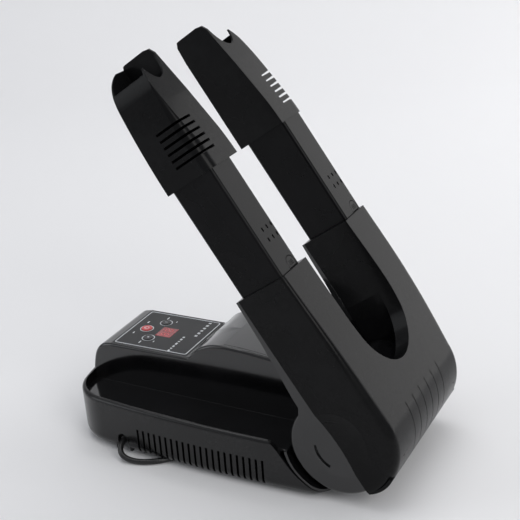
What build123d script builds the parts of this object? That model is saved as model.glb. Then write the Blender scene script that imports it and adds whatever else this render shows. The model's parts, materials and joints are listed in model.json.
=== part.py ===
from build123d import *
import os
from math import sin, cos, radians, degrees, sqrt, atan2, pi

os.makedirs("parts", exist_ok=True)

# ------------------------------------------------------------------ dimensions
# Frame: origin on the floor under the middle of the whole object, +X towards
# the hinge end, +Y across, +Z up. The hinge axis is parallel to Y.
PX = 107.46            # hinge axis, along X from the origin
PZ = 52.0              # hinge axis height above the floor
TILT = 55.0            # fork angle above the horizontal, at rest
WALL = 2.4             # general wall

# base
TAIL = -264.0          # tail end of the tray, from the hinge axis
TRAY_TOP = -3.0        # rim of the tray
TRAY_BOT = -49.3       # underside of the tray
NOSE = -7.0            # hinge end of the tray
SHOULDER = -10.6       # flat of the upper housing beside the tower
TOWER = 38.0           # half width of the tower
BARREL_R = 39.5        # hinge barrel
BARREL_L = 38.4        # half length of the barrel
POCKET_R = 45.0        # pocket round the fork's bosses
PANEL_X0, PANEL_X1, PANEL_Y = -238.0, -161.0, 34.5
PANEL_Z0, PANEL_Z1 = 26.8, 28.2

# fork, in its own directions: s along the arms, n out of the front face
MOUTH_S = 141.0        # arm mouths
ARM_IN = 41.4          # inner wall of an arm
CAVITY_IN = 44.2       # inside of that wall
HEEL_R = 48.7
BOSS_R = 41.3
SLOT_END = 26.0        # bottom of the U between the arms
SECTIONS = [(141.0, 82.5, 47.7, 3.2), (100.0, 82.3, 49.4, 4.2), (60.0, 81.8, 50.2, 6.0),
            (26.0, 80.9, 49.6, 8.0), (0.0, 79.4, 48.7, 9.0)]   # s, half width, depth, edge radius
BORE_R = 16.06         # bearing bore of the fork
TRUNNION_R = 16.0

# tubes and heads
TUBE_Y0, TUBE_Y1 = 48.05, 79.4
TUBE_N0, TUBE_N1 = 1.8, 44.9
TUBE_LOW = 113.0       # lower end of a tube, pulled out
TUBE_TOP = 252.0
HEAD_S0 = 238.6        # lower edge of a head
HEAD_S1 = 343.6        # tip
TUBE_TRAVEL = 97.0

P0 = Vector(PX, 0, PZ)
U = Vector(-cos(radians(TILT)), 0, sin(radians(TILT)))
N = Vector(sin(radians(TILT)), 0, cos(radians(TILT)))


def base_top(z):
    """Horizontal plane at height z over the hinge axis, local x and y as the frame's."""
    return Plane(origin=(PX, 0, PZ + z), x_dir=(1, 0, 0), z_dir=(0, 0, 1))


def base_side(y=0.0):
    """Upright plane across the base, local x along X, local y up."""
    return Plane(origin=(PX, y, PZ), x_dir=(1, 0, 0), z_dir=(0, -1, 0))


def base_end(x):
    """Upright plane facing +X, local x along Y, local y up."""
    return Plane(origin=(PX + x, 0, PZ), x_dir=(0, 1, 0), z_dir=(1, 0, 0))


def fork_section(s):
    """Plane across the arms at s, local x out of the front face, local y along Y."""
    return Plane(origin=P0 + U * s, x_dir=N, z_dir=U)


def fork_side(y=0.0):
    """Plane along the arms, local x out of the front face, local y along the arms."""
    return Plane(origin=P0 + Vector(0, y, 0), x_dir=N, z_dir=(0, -1, 0))


def fork_front(n=0.0):
    """Plane parallel to the fork's front, local x along Y, local y along the arms."""
    return Plane(origin=P0 + N * n, x_dir=(0, 1, 0), z_dir=N)


PIVOT = Axis(P0, (0, 1, 0))
PIVOT_REV = Axis(P0, (0, -1, 0))


def save(builder, name):
    builder.part.label = name
    export_step(builder.part, f"parts/{name}.step")


# ------------------------------------------------------------------ fork shells
def slot_outline(grow=0.0, top=170.0):
    """Outline of the gap between the arms, in the fork_front plane."""
    pts = [(41.0, 141.0), (41.5, 121.0), (41.9, 91.0), (41.4, 76.0), (40.0, 65.0), (36.9, 53.0),
           (30.6, 42.5), (21.5, 33.4), (12.0, 28.2), (0.0, 26.0)]
    grown = []
    for k, (y, s) in enumerate(pts):
        ya, sa = pts[max(k - 1, 0)]
        yb, sb = pts[min(k + 1, len(pts) - 1)] if k < len(pts) - 1 else (-pts[k - 1][0], pts[k - 1][1])
        d = sqrt((yb - ya) ** 2 + (sb - sa) ** 2)
        grown.append((y - (sb - sa) / d * grow, s + (yb - ya) / d * grow))
    pts = grown
    with BuildSketch(Plane.XY, mode=Mode.PRIVATE) as outline:
        with BuildLine():
            right = Spline([(y, s) for y, s in pts], tangents=[(0.03, -1), (-1, 0)])
            mirror(right, about=Plane.YZ)
            Polyline([right @ 0, ((right @ 0).X, top), (-(right @ 0).X, top), (-(right @ 0).X, (right @ 0).Y)])
        make_face()
    return outline.sketch



# ------------------------------------------------------------------ base shells
def tray_outline(grow, corner=40.0, nose_corner=19.0):
    """Plan outline of the tray's rim, grown or shrunk, in a base_top plane."""
    with BuildSketch(Plane.XY, mode=Mode.PRIVATE) as outline:
        with BuildLine():
            far = ThreePointArc((-251.0, 79.5 + grow), (-115.0, 88.4 + grow), (NOSE + grow, 83.6 + grow))
            near = ThreePointArc((-251.0, -79.5 - grow), (-115.0, -88.4 - grow), (NOSE + grow, -83.6 - grow))
            Line(far @ 1, near @ 1)
            ThreePointArc(far @ 0, (TAIL - grow, 0), near @ 0)
        make_face()
        fillet(outline.vertices().sort_by(Axis.X)[:2], corner + grow)
        fillet(outline.vertices().sort_by(Axis.X)[-2:], nose_corner + grow)
    return outline.sketch


HUMP = [(-160.0, 28.3), (-156.4, 30.3), (-152.0, 35.6), (-147.9, 39.3), (-142.8, 42.0), (-137.8, 43.9), (-130.9, 45.4),
        (-124.0, 46.1), (-112.0, 46.1), (-96.0, 45.2), (-81.0, 43.9), (-60.0, 43.4), (-38.0, 43.2)]
NOSE_X = -31.0         # hinge end of the hump
NARROW_Z = 31.0        # the hump is narrowed to the nose outline above this height


def tower_profile(k):
    """Side outline of the tower, drawn in by k, in a base_side plane."""
    with BuildSketch(Plane.XY, mode=Mode.PRIVATE) as profile:
        with BuildLine():
            tail = Spline([(-259.6 + k, -14.0), (-258.2 + k, -2.0), (-256.6 + k, 8.0), (-254.0 + k, 16.5),
                           (-249.5 + 0.8 * k, 22.6 - 0.6 * k), (-243.0, 25.8 - k)], tangents=[(0.1, 1), (1, 0.12)])
            panel = Line((PANEL_X0, PANEL_Z0 - k), (PANEL_X1 + 1, PANEL_Z1 - 0.1 - k))
            Line(tail @ 1, panel @ 0)
            hump = Spline([(x + (0.8 * k if -159 < x < -131 else 0), z - (0.6 * k if -159 < x < -131 else k)) for x, z in HUMP])
            Line(panel @ 1, hump @ 0)
            nose = ThreePointArc(hump @ 1, (NOSE_X - 2.0 - k * 0.7, 41.2 - 0.7 * k), (NOSE_X - k, 36.5 - k))
            Polyline([nose @ 1, (NOSE_X - k, 0.0), (-20, 0.0), (-20, -14.0), tail @ 0])
        make_face()
    return profile.sketch


def nose_outline(k):
    """Plan outline of the upper hump, drawn in by k, rounded to pass inside the fork's U."""
    with BuildSketch(Plane.XY, mode=Mode.PRIVATE) as outline:
        with BuildLine():
            far = Spline([(-72.0, TOWER - k), (-62.0, 36.6 - k), (-53.0 - 0.3 * k, 33.4 - 0.9 * k), (-44.0 - 0.6 * k, 27.0 - 0.75 * k),
                          (-37.0 - 0.8 * k, 18.6 - 0.5 * k), (-32.8 - k, 9.6 - 0.2 * k), (NOSE_X - k, 0.0)], tangents=[(1, 0), (0, -1)])
            mirror(far, about=Plane.XZ)
            Polyline([far @ 0, (-290, TOWER - k), (-290, k - TOWER), (-72.0, k - TOWER)])
        make_face()
    return outline.sketch


def pocket_band(r0, r1):
    """Band between two radii under the hinge, from the shoulder round to the floor."""
    a0, a1 = radians(194.2), radians(257.0)
    am = (a0 + a1) / 2
    with BuildSketch(Plane.XY, mode=Mode.PRIVATE) as band:
        with BuildLine():
            inner = ThreePointArc((r0 * cos(a0), r0 * sin(a0)), (r0 * cos(am), r0 * sin(am)), (r0 * cos(a1), r0 * sin(a1)))
            outer = ThreePointArc((r1 * cos(a0), r1 * sin(a0)), (r1 * cos(am), r1 * sin(am)), (r1 * cos(a1), r1 * sin(a1)))
            Line(inner @ 0, outer @ 0)
            Line(inner @ 1, outer @ 1)
        make_face()
    return band.sketch


with BuildPart() as tower_hollow:
    with BuildSketch(base_side()):
        add(tower_profile(2.4))
        with Locations((-138, -13)):
            Rectangle(236, 10)
    extrude(amount=TOWER - 2.4, both=True)
    with BuildSketch(base_top(NARROW_Z - 2.4)):
        with Locations((-60, 0)):
            Rectangle(200, 120)
        add(nose_outline(2.4), mode=Mode.SUBTRACT)
    extrude(amount=30, mode=Mode.SUBTRACT)
    with BuildSketch(base_top(-20)):
        add(tray_outline(-7.3))
        with Locations((0, 0)):
            Rectangle(100, 160)
    extrude(amount=90, mode=Mode.INTERSECT)

BUTTONS = [("power_button", -222.0, 0.0, 5.0), ("timer_button", -211.0, 16.2, 4.6), ("mode_button", -211.0, -15.8, 4.6)]
PANEL = Plane(origin=(PX + (PANEL_X0 + PANEL_X1) / 2, 0, PZ + (PANEL_Z0 + PANEL_Z1) / 2),
              x_dir=(PANEL_X1 - PANEL_X0, 0, PANEL_Z1 - PANEL_Z0), z_dir=(-(PANEL_Z1 - PANEL_Z0), 0, PANEL_X1 - PANEL_X0))
PANEL_MID = (PANEL_X0 + PANEL_X1) / 2
WINDOW = (-200.4, -0.6, 15.6, 17.6)     # centre x, centre y, size x, size y
BASE_SCREWS = [(-232, 58), (-232, -58), (-118, 70), (-118, -70), (-66, 68), (-66, -68)]

with BuildPart() as hump_seat:
    with BuildSketch(base_side()):
        with BuildLine():
            low = Spline([(x, z - 0.9) for x, z in HUMP[7:]])
            Polyline([low @ 1, (-36, 60), (-124, 60), low @ 0])
        make_face()
    extrude(amount=40, both=True)
    with BuildSketch(base_top(30)):
        with BuildLine():
            rim = Spline([(-70.0, 33.5), (-60.0, 31.6), (-51.0, 27.6), (-43.5, 21.0), (-38.6, 12.0), (-36.6, 0.0)], tangents=[(1, 0), (0, -1)])
            mirror(rim, about=Plane.XZ)
            Polyline([rim @ 0, (-124.0, 33.5), (-124.0, -33.5), (-70.0, -33.5)])
        make_face()
    extrude(amount=30, mode=Mode.INTERSECT)

with BuildPart() as upper_housing:
    with BuildSketch(base_side()):
        add(tower_profile(0.0))
    extrude(amount=TOWER, both=True)
    with BuildSketch(base_top(NARROW_Z)):
        with Locations((-60, 0)):
            Rectangle(200, 120)
        add(nose_outline(0.0), mode=Mode.SUBTRACT)
    extrude(amount=30, mode=Mode.SUBTRACT)
    fillet(upper_housing.edges().filter_by(lambda e: abs(abs(e.center().Y) - TOWER) < 0.01 and e.center().Z > PZ + 10
                                           and e.center().X < PX - 74), 2.6)
    # flat shoulders inside the tray's rim
    with BuildSketch(base_top(SHOULDER - 2.4)):
        add(tray_outline(-4.9))
        with Locations((-17, 0)):
            Rectangle(52, 200, mode=Mode.SUBTRACT)
    extrude(amount=2.4)
    # upper half of the hinge barrel
    with BuildSketch(base_side()):
        Circle(BARREL_R)
        with Locations((0, -50)):
            Rectangle(120, 100, mode=Mode.SUBTRACT)
    extrude(amount=BARREL_L, both=True)
    # skins of the pockets
    for side in (1, -1):
        with BuildSketch(base_side(side * BARREL_L)):
            add(pocket_band(POCKET_R, POCKET_R + 2.2))
        extrude(amount=-side * 50)
    with BuildSketch(base_top(-49.0)):
        add(tray_outline(-2.6))
        with Locations((20, 0)):
            Rectangle(110, 2 * BARREL_L)
    extrude(amount=110, mode=Mode.INTERSECT)
    # tail kept inside the tray's rim
    with BuildSketch(base_top(-20)):
        with Locations((-250, 0)):
            Rectangle(60, 200)
        add(tray_outline(-4.9), mode=Mode.SUBTRACT)
    extrude(amount=17.4, mode=Mode.SUBTRACT)
    for side in (1, -1):
        with BuildSketch(base_side(side * BARREL_L)):
            Circle(POCKET_R)
        extrude(amount=-side * 60, mode=Mode.SUBTRACT)
    add(tower_hollow.part, mode=Mode.SUBTRACT)
    with BuildSketch(base_side()):
        Circle(BARREL_R - 2.4)
    extrude(amount=BARREL_L - 2.4, both=True, mode=Mode.SUBTRACT)
    with BuildSketch(base_side()):
        Circle(TRUNNION_R)
    extrude(amount=60, both=True, mode=Mode.SUBTRACT)
    # windows in the control panel, and the shallow seat of its overlay
    with BuildSketch(PANEL.offset(-6)):
        for _, x, y, r in BUTTONS:
            with Locations((x - PANEL_MID, y)):
                Circle(r + 0.4)
        with Locations((WINDOW[0] - PANEL_MID, WINDOW[1])):
            Rectangle(WINDOW[2] - 1.6, WINDOW[3] - 1.6)
    extrude(amount=12, mode=Mode.SUBTRACT)
    with BuildSketch(PANEL.offset(-0.5)) as seat:
        Rectangle(PANEL_X1 - PANEL_X0 - 0.4, 2 * PANEL_Y + 0.2)
        fillet(seat.vertices(), 1.2)
    extrude(amount=4, mode=Mode.SUBTRACT)
    # seat of the hump plate
    add(hump_seat.part, mode=Mode.SUBTRACT)
    # screw bosses
    with BuildSketch(base_top(SHOULDER - 1)):
        with Locations(*BASE_SCREWS):
            Circle(3.6)
    extrude(amount=-11)
    with BuildSketch(base_top(SHOULDER - 3.5)):
        with Locations(*BASE_SCREWS):
            Circle(1.35)
    extrude(amount=-12, mode=Mode.SUBTRACT)
save(upper_housing, "upper_housing")

# tray
with BuildPart() as tray_cavity:
    with BuildSketch(base_top(TRAY_BOT + 2.4)):
        add(tray_outline(-4.6))
    with BuildSketch(base_top(-14.0)):
        add(tray_outline(-2.8))
    loft()
    fillet(tray_cavity.faces().sort_by(Axis.Z)[0].edges(), 7.0)
    with BuildSketch(base_top(-14.0)):
        add(tray_outline(-4.6))
    extrude(amount=20)

LOUVRES = [-184.6 + 5.72 * i for i in range(22)]
RECESS_TOP = -27.0     # ceiling of the cord's storage recess
CORD_R = 2.5
FLOOR = -52.0


FEET = [(-222, 66.5), (-222, -66.5), (-72, 70), (-72, -70)]


def recess_outline(grow):
    """Plan outline of the storage recess under the tail."""
    with BuildSketch(Plane.XY, mode=Mode.PRIVATE) as outline:
        with BuildLine():
            Polyline([(-187, 62), (-187, -5), (-213, -5), (-213, -60), (-226, -60), (-241, -52), (-253, -34),
                      (-253, 34), (-241, 54), (-226, 62)], close=True)
        make_face()
        if grow:
            offset(amount=grow, kind=Kind.INTERSECTION)
    return outline.sketch


def gallery_outline(grow):
    """Plan outline of the shallow way that leads the cord under the base."""
    with BuildSketch(Plane.XY, mode=Mode.PRIVATE) as outline:
        with BuildLine():
            Polyline([(-189, -4), (-189, 36), (-166, 22), (-134, -12), (-130, -60), (-146, -81), (-182, -81), (-160, -58), (-158, -30), (-178, -4)], close=True)
        make_face()
        if grow:
            offset(amount=grow, kind=Kind.INTERSECTION)
    return outline.sketch


with BuildPart() as base_tray:
    with BuildSketch(base_top(TRAY_BOT)):
        add(tray_outline(-2.2))
    with BuildSketch(base_top(TRAY_TOP)):
        add(tray_outline(0.0))
    loft()
    fillet(base_tray.faces().sort_by(Axis.Z)[0].edges(), 9.0)
    fillet(base_tray.faces().sort_by(Axis.Z)[-1].edges(), 3.4)
    add(tray_cavity.part, mode=Mode.SUBTRACT)
    # storage recess, cord gallery and cord notch, closed from the inside
    with BuildSketch(base_top(TRAY_BOT + 0.5)):
        add(recess_outline(1.9))
    extrude(amount=RECESS_TOP + 1.9 - TRAY_BOT - 0.5)
    with BuildSketch(base_top(TRAY_BOT + 0.5)):
        add(gallery_outline(1.6))
        with Locations((-160, -95)):
            Rectangle(80, 30, mode=Mode.SUBTRACT)
    extrude(amount=6.3)
    with BuildSketch(base_top(TRAY_BOT + 0.5)):
        with Locations((-201.5, -69)):
            Rectangle(16, 26)
    extrude(amount=19.3)
    with BuildSketch(base_top(TRAY_BOT - 1)):
        add(recess_outline(0.0))
    extrude(amount=RECESS_TOP - TRAY_BOT + 1, mode=Mode.SUBTRACT)
    with BuildSketch(base_top(TRAY_BOT - 1)):
        add(gallery_outline(0.0))
    extrude(amount=6.2, mode=Mode.SUBTRACT)
    with BuildSketch(base_top(TRAY_BOT - 1)):
        with Locations((-164, -84)):
            Rectangle(30, 10)
    extrude(amount=3.7, mode=Mode.SUBTRACT)
    with BuildSketch(Plane(origin=(PX - 201.5, -58, PZ - 38.0), x_dir=(1, 0, 0), z_dir=(0, -1, 0))):
        Circle(5.6)
        with Locations((0, -8)):
            Rectangle(11.2, 16)
    extrude(amount=40, mode=Mode.SUBTRACT)
    # walls of the neck, lower half of the hinge barrel
    for side in (1, -1):
        with BuildSketch(base_side(side * (BARREL_L - 2.4))):
            with BuildLine():
                Polyline([(-49, TRAY_BOT + 1), (-8, TRAY_BOT + 1), (4, -38), (20, -2), (20, 0), (0, 0), (-20, 0), (-20, -14), (-49, -14)], close=True)
            make_face()
            with BuildLine():
                CenterArc((0, 0), BARREL_R, 270, 90)
                Polyline([(0, -BARREL_R), (0, 0), (BARREL_R, 0)])
            make_face()
        extrude(amount=-side * 2.4)
    with BuildSketch(base_side()):
        with BuildLine():
            Polyline([(-12, TRAY_BOT), (-8, TRAY_BOT), (4, -38.5), (0, -38.5)], close=True)
        make_face()
    extrude(amount=BARREL_L, both=True)
    with BuildSketch(base_side()):
        Circle(BARREL_R)
        Circle(BARREL_R - 2.4, mode=Mode.SUBTRACT)
        with Locations((0, 60)):
            Rectangle(120, 120, mode=Mode.SUBTRACT)
        with Locations((-60, -30)):
            Rectangle(120, 120, mode=Mode.SUBTRACT)
    extrude(amount=BARREL_L, both=True)
    with BuildSketch(base_side()):
        Circle(60)
        Circle(BARREL_R, mode=Mode.SUBTRACT)
        with Locations((-60, 0)):
            Rectangle(108, 140, mode=Mode.SUBTRACT)
        with Locations((0, 50)):
            Rectangle(140, 100, mode=Mode.SUBTRACT)
    extrude(amount=BARREL_L, both=True, mode=Mode.SUBTRACT)
    # sides cut away round the fork's bosses, with the rim curling down to the pocket
    for side in (1, -1):
        with BuildSketch(base_side(side * BARREL_L)):
            with BuildLine():
                curl = Spline([(-62.0, TRAY_TOP + 1.0), (-56.5, -5.0), (-51.0, -11.0), (-45.4, -19.0), (-38.4, -28.6), (-29.0, -37.6), (-16.0, -45.2), (-4.0, -50.4)])
                Polyline([curl @ 1, (60, -50.4), (60, 20), (-62, 20), curl @ 0])
            make_face()
        extrude(amount=-side * 60, mode=Mode.SUBTRACT)
        with BuildSketch(base_side(side * BARREL_L)):
            Circle(POCKET_R + 2.3)
        extrude(amount=-side * 60, mode=Mode.SUBTRACT)
    with BuildSketch(base_side()):
        Circle(TRUNNION_R)
    extrude(amount=60, both=True, mode=Mode.SUBTRACT)
    # louvres on both sides
    with BuildSketch(base_top(-48.2)):
        for side in (1, -1):
            with Locations(*[(x, side * 85) for x in LOUVRES]):
                Rectangle(2.1, 12)
    extrude(amount=25.2, mode=Mode.SUBTRACT)
    # screw pillars
    with BuildSketch(base_top(TRAY_BOT + 1)):
        with Locations(*BASE_SCREWS[2:]):
            Circle(4.2)
    extrude(amount=-22.8 - TRAY_BOT - 1)
    with BuildSketch(base_top(RECESS_TOP + 1)):
        with Locations(*BASE_SCREWS[:2]):
            Circle(4.2)
    extrude(amount=-22.8 - RECESS_TOP - 1)
    with BuildSketch(base_top(TRAY_BOT - 1)):
        with Locations(*BASE_SCREWS):
            Circle(1.7)
    extrude(amount=40, mode=Mode.SUBTRACT)
    with BuildSketch(base_top(TRAY_BOT - 1)):
        with Locations(*BASE_SCREWS[2:]):
            Circle(3.3)
    extrude(amount=20, mode=Mode.SUBTRACT)
    # seats of the feet
    with BuildSketch(base_top(TRAY_BOT - 1)):
        with Locations(*FEET):
            Circle(5.6)
    extrude(amount=2.0, mode=Mode.SUBTRACT)
save(base_tray, "base_tray")

# ------------------------------------------------------------------ trim of the base
with BuildPart() as hump_plate:
    with BuildSketch(base_side()):
        with BuildLine():
            top = Spline([(x, z + 0.15) for x, z in HUMP[7:]])
            low = Spline([(x, z - 0.9) for x, z in HUMP[7:]])
            Line(top @ 0, low @ 0)
            Line(top @ 1, low @ 1)
        make_face()
    extrude(amount=40, both=True)
    with BuildSketch(base_top(30)):
        with BuildLine():
            rim = Spline([(-70.0, 33.3), (-60.0, 31.4), (-51.1, 27.4), (-43.7, 20.8), (-38.8, 11.9), (-36.8, 0.0)], tangents=[(1, 0), (0, -1)])
            mirror(rim, about=Plane.XZ)
            Polyline([rim @ 0, (-123.8, 33.3), (-123.8, -33.3), (-70.0, -33.3)])
        make_face()
    extrude(amount=30, mode=Mode.INTERSECT)
save(hump_plate, "hump_plate")

with BuildPart() as control_overlay:
    with BuildSketch(PANEL.offset(-0.5)) as label:
        Rectangle(PANEL_X1 - PANEL_X0 - 0.6, 2 * PANEL_Y)
        fillet(label.vertices(), 1.0)
        for _, x, y, r in BUTTONS:
            with Locations((x - PANEL_MID, y)):
                Circle(r + 0.4, mode=Mode.SUBTRACT)
        with Locations((WINDOW[0] - PANEL_MID, WINDOW[1])):
            Rectangle(WINDOW[2], WINDOW[3], mode=Mode.SUBTRACT)
    extrude(amount=0.6)
save(control_overlay, "control_overlay")

with BuildPart() as display_window:
    with BuildSketch(PANEL.offset(-0.5)):
        with Locations((WINDOW[0] - PANEL_MID, WINDOW[1])):
            Rectangle(WINDOW[2] - 0.2, WINDOW[3] - 0.2)
    extrude(amount=0.7)
    with BuildSketch(PANEL.offset(-2.6)):
        with Locations((WINDOW[0] - PANEL_MID, WINDOW[1])):
            Rectangle(WINDOW[2] - 2.0, WINDOW[3] - 2.0)
    extrude(amount=2.1)
save(display_window, "display_window")

for name, x, y, r in BUTTONS:
    with BuildPart() as button:
        with BuildSketch(PANEL.offset(-3.6)):
            with Locations((x - PANEL_MID, y)):
                Circle(r)
        extrude(amount=4.6)
        fillet(button.faces().sort_by(Axis.Z)[-1].edges(), 0.5)
        with BuildSketch(PANEL.offset(-4.8)):
            with Locations((x - PANEL_MID, y)):
                Circle(r + 1.2)
        extrude(amount=1.2)
        with BuildSketch(PANEL.offset(-5.9)):
            with Locations((x - PANEL_MID, y)):
                Circle(1.4)
        extrude(amount=1.2)
    save(button, name)

# ------------------------------------------------------------------ electronics
BOARD_TOP = -9.4      # control board's face under the panel plane
with BuildPart() as control_board:
    with BuildSketch(PANEL.offset(BOARD_TOP - 1.6)):
        with Locations((-1, 0)):
            Rectangle(72, 62)
        with Locations(*[(x, y) for x in (-33, 31) for y in (-27, 27)]):
            Circle(1.6, mode=Mode.SUBTRACT)
    extrude(amount=1.6)
save(control_board, "control_board")

with BuildPart() as tact_switches:
    for _, x, y, _ in BUTTONS:
        with BuildSketch(PANEL.offset(BOARD_TOP)):
            with Locations((x - PANEL_MID, y)):
                Rectangle(6, 6)
        extrude(amount=1.8)
        with BuildSketch(PANEL.offset(BOARD_TOP + 1.8)):
            with Locations((x - PANEL_MID, y)):
                Circle(1.7)
        extrude(amount=0.5)
save(tact_switches, "tact_switches")

with BuildPart() as display_module:
    with BuildSketch(PANEL.offset(BOARD_TOP)):
        with Locations((WINDOW[0] - PANEL_MID, WINDOW[1])):
            Rectangle(13, 15)
    extrude(amount=-BOARD_TOP - 2.9)
save(display_module, "display_module")

with BuildPart() as board_screws:
    with BuildSketch(PANEL.offset(BOARD_TOP)):
        with Locations(*[(x, y) for x in (-33, 31) for y in (-27, 27)]):
            Circle(2.6)
    extrude(amount=1.6)
    with BuildSketch(PANEL.offset(BOARD_TOP - 5)):
        with Locations(*[(x, y) for x in (-33, 31) for y in (-27, 27)]):
            Circle(1.2)
    extrude(amount=5)
save(board_screws, "board_screws")

POWER_Z = -4.0
with BuildPart() as power_board:
    with BuildSketch(base_top(POWER_Z)):
        with Locations((-212, 0)):
            Rectangle(64, 60)
    extrude(amount=1.6)
save(power_board, "power_board")

with BuildPart() as power_board_parts:
    for x, y, dx, dy, h in ((-232, -16, 18, 20, 9.0), (-232, 14, 16, 14, 7.5), (-204, -18, 12, 14, 8.0), (-196, 12, 10, 22, 6.0)):
        with BuildSketch(base_top(POWER_Z + 1.6)):
            with Locations((x, y)):
                Rectangle(dx, dy)
        extrude(amount=h)
    for x, y, r, h in ((-214, 18, 5.0, 9.0), (-190, -10, 4.0, 8.0)):
        with BuildSketch(base_top(POWER_Z + 1.6)):
            with Locations((x, y)):
                Circle(r)
        extrude(amount=h)
save(power_board_parts, "power_board_parts")

# ------------------------------------------------------------------ blower
FAN_X, FAN_Z = -112.0, -36.0
SCROLL_TOP = -16.4
with BuildPart() as blower_scroll:
    with BuildSketch(base_top(FAN_Z - 3)) as scroll:
        with BuildLine():
            ThreePointArc((FAN_X + 20, -34), (FAN_X - 39, -4), (FAN_X + 6, 39))
            Polyline([(FAN_X + 6, 39), (FAN_X + 44, 28), (FAN_X + 44, -30), (FAN_X + 20, -34)])
        make_face()
    extrude(amount=SCROLL_TOP - FAN_Z + 3)
    with BuildSketch(base_top(FAN_Z - 1)):
        add(scroll.sketch.faces()[0].moved(Location((-PX, 0, -PZ - FAN_Z + 3))))
        offset(amount=-2.0)
    extrude(amount=40, mode=Mode.SUBTRACT)
    with BuildSketch(base_top(FAN_Z - 5)):
        with Locations((FAN_X, 0)):
            Circle(20)
    extrude(amount=10, mode=Mode.SUBTRACT)
    with BuildSketch(base_end(-80)):
        with Locations((-1, (FAN_Z - 1 + SCROLL_TOP) / 2)):
            Rectangle(50, SCROLL_TOP - FAN_Z - 1)
    extrude(amount=30, mode=Mode.SUBTRACT)
save(blower_scroll, "blower_scroll")

with BuildPart() as blower_cover:
    with BuildSketch(base_top(SCROLL_TOP)):
        with BuildLine():
            ThreePointArc((FAN_X + 20, -34), (FAN_X - 39, -4), (FAN_X + 6, 34.5))
            Polyline([(FAN_X + 6, 34.5), (FAN_X + 44, 28), (FAN_X + 44, -30), (FAN_X + 20, -34)])
        make_face()
        with Locations((FAN_X, 0)):
            Circle(6, mode=Mode.SUBTRACT)
    extrude(amount=2.0)
    with BuildSketch(base_top(SCROLL_TOP + 2)):
        with Locations((FAN_X, 0)):
            Circle(19.5)
            Circle(17.3, mode=Mode.SUBTRACT)
    extrude(amount=10)
save(blower_cover, "blower_cover")

with BuildPart() as blower_motor:
    with BuildSketch(base_top(SCROLL_TOP + 2)):
        with Locations((FAN_X, 0)):
            Circle(17.2)
    extrude(amount=26)
    fillet(blower_motor.edges().sort_by(Axis.Z)[-1:], 1.5)
    with BuildSketch(base_top(SCROLL_TOP + 2)):
        with Locations((FAN_X, 0)):
            Circle(1.56)
    extrude(amount=24, mode=Mode.SUBTRACT)
    with BuildSketch(base_top(SCROLL_TOP + 28)):
        with Locations((FAN_X, 0)):
            Circle(5)
    extrude(amount=2)
save(blower_motor, "blower_motor")

with BuildPart() as impeller_shaft:
    with BuildSketch(base_top(FAN_Z + 2)):
        with Locations((FAN_X, 0)):
            Circle(1.5)
    extrude(amount=SCROLL_TOP - FAN_Z + 20)
save(impeller_shaft, "impeller_shaft")

with BuildPart() as impeller:
    with BuildSketch(base_top(SCROLL_TOP - 3.6)):
        with Locations((FAN_X, 0)):
            Circle(29)
    extrude(amount=1.6)
    with BuildSketch(base_top(FAN_Z + 1)):
        with Locations((FAN_X, 0)):
            Circle(29)
            Circle(23, mode=Mode.SUBTRACT)
    extrude(amount=1.4)
    with BuildSketch(base_top(FAN_Z + 2)):
        with Locations((FAN_X, 0)):
            with PolarLocations(26, 24):
                Rectangle(6, 1.1, rotation=28)
    extrude(amount=SCROLL_TOP - 3 - FAN_Z - 2)
    with BuildSketch(base_top(FAN_Z + 6)):
        with Locations((FAN_X, 0)):
            Circle(5)
    extrude(amount=SCROLL_TOP - 3 - FAN_Z - 6)
    with BuildSketch(base_top(FAN_Z)):
        with Locations((FAN_X, 0)):
            Circle(1.5)
    extrude(amount=30, mode=Mode.SUBTRACT)
save(impeller, "impeller")

with BuildPart() as heater_frame:
    with BuildSketch(base_end(-66)):
        with Locations((-1, -23.4)):
            Rectangle(56, 30)
            Rectangle(50, 24, mode=Mode.SUBTRACT)
    extrude(amount=18)
save(heater_frame, "heater_frame")

with BuildPart() as heater_element:
    with BuildSketch(base_end(-64)):
        with Locations((-1, -23.4)):
            Rectangle(50, 24)
        with Locations((-1, -23.4)):
            with GridLocations(4.6, 7.4, 10, 3):
                Rectangle(3.4, 6.0, mode=Mode.SUBTRACT)
    extrude(amount=12)
save(heater_element, "heater_element")

with BuildPart() as thermal_cutout:
    with BuildSketch(base_top(-8.4)):
        with Locations((-58, 14)):
            Rectangle(12, 6)
    extrude(amount=4)
save(thermal_cutout, "thermal_cutout")

with BuildPart() as air_duct:
    with BuildSketch(base_end(-48)):
        with Locations((0, -20)):
            Rectangle(60, 36)
            Rectangle(56.4, 32.4, mode=Mode.SUBTRACT)
    extrude(amount=16)
save(air_duct, "air_duct")

# ------------------------------------------------------------------ hinge
for side, name in ((-1, "left"), (1, "right")):
    with BuildPart() as trunnion:
        with BuildSketch(base_side(side * 33.8)):
            Circle(TRUNNION_R)
        extrude(amount=-side * 12.8)
        with BuildSketch(base_side(side * 33.8)):
            Circle(20)
        extrude(amount=-side * 2.2)
        with BuildSketch(base_side(side * 44.6)):
            Circle(18.6)
        extrude(amount=-side * 2.0)
        with BuildSketch(base_side(side * 30)):
            Circle(13.4)
        extrude(amount=-side * 20, mode=Mode.SUBTRACT)
    save(trunnion, f"air_trunnion_{name}")

with BuildPart() as friction_washers:
    for side in (-1, 1):
        with BuildSketch(base_side(side * 38.4)):
            Circle(30)
            Circle(16.2, mode=Mode.SUBTRACT)
        extrude(amount=-side * 0.9)
save(friction_washers, "friction_washers")

with BuildPart() as wave_washers:
    for side in (-1, 1):
        with BuildSketch(base_side(side * 39.3)):
            Circle(25)
            Circle(18, mode=Mode.SUBTRACT)
        extrude(amount=-side * 1.3)
save(wave_washers, "wave_washers")

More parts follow.
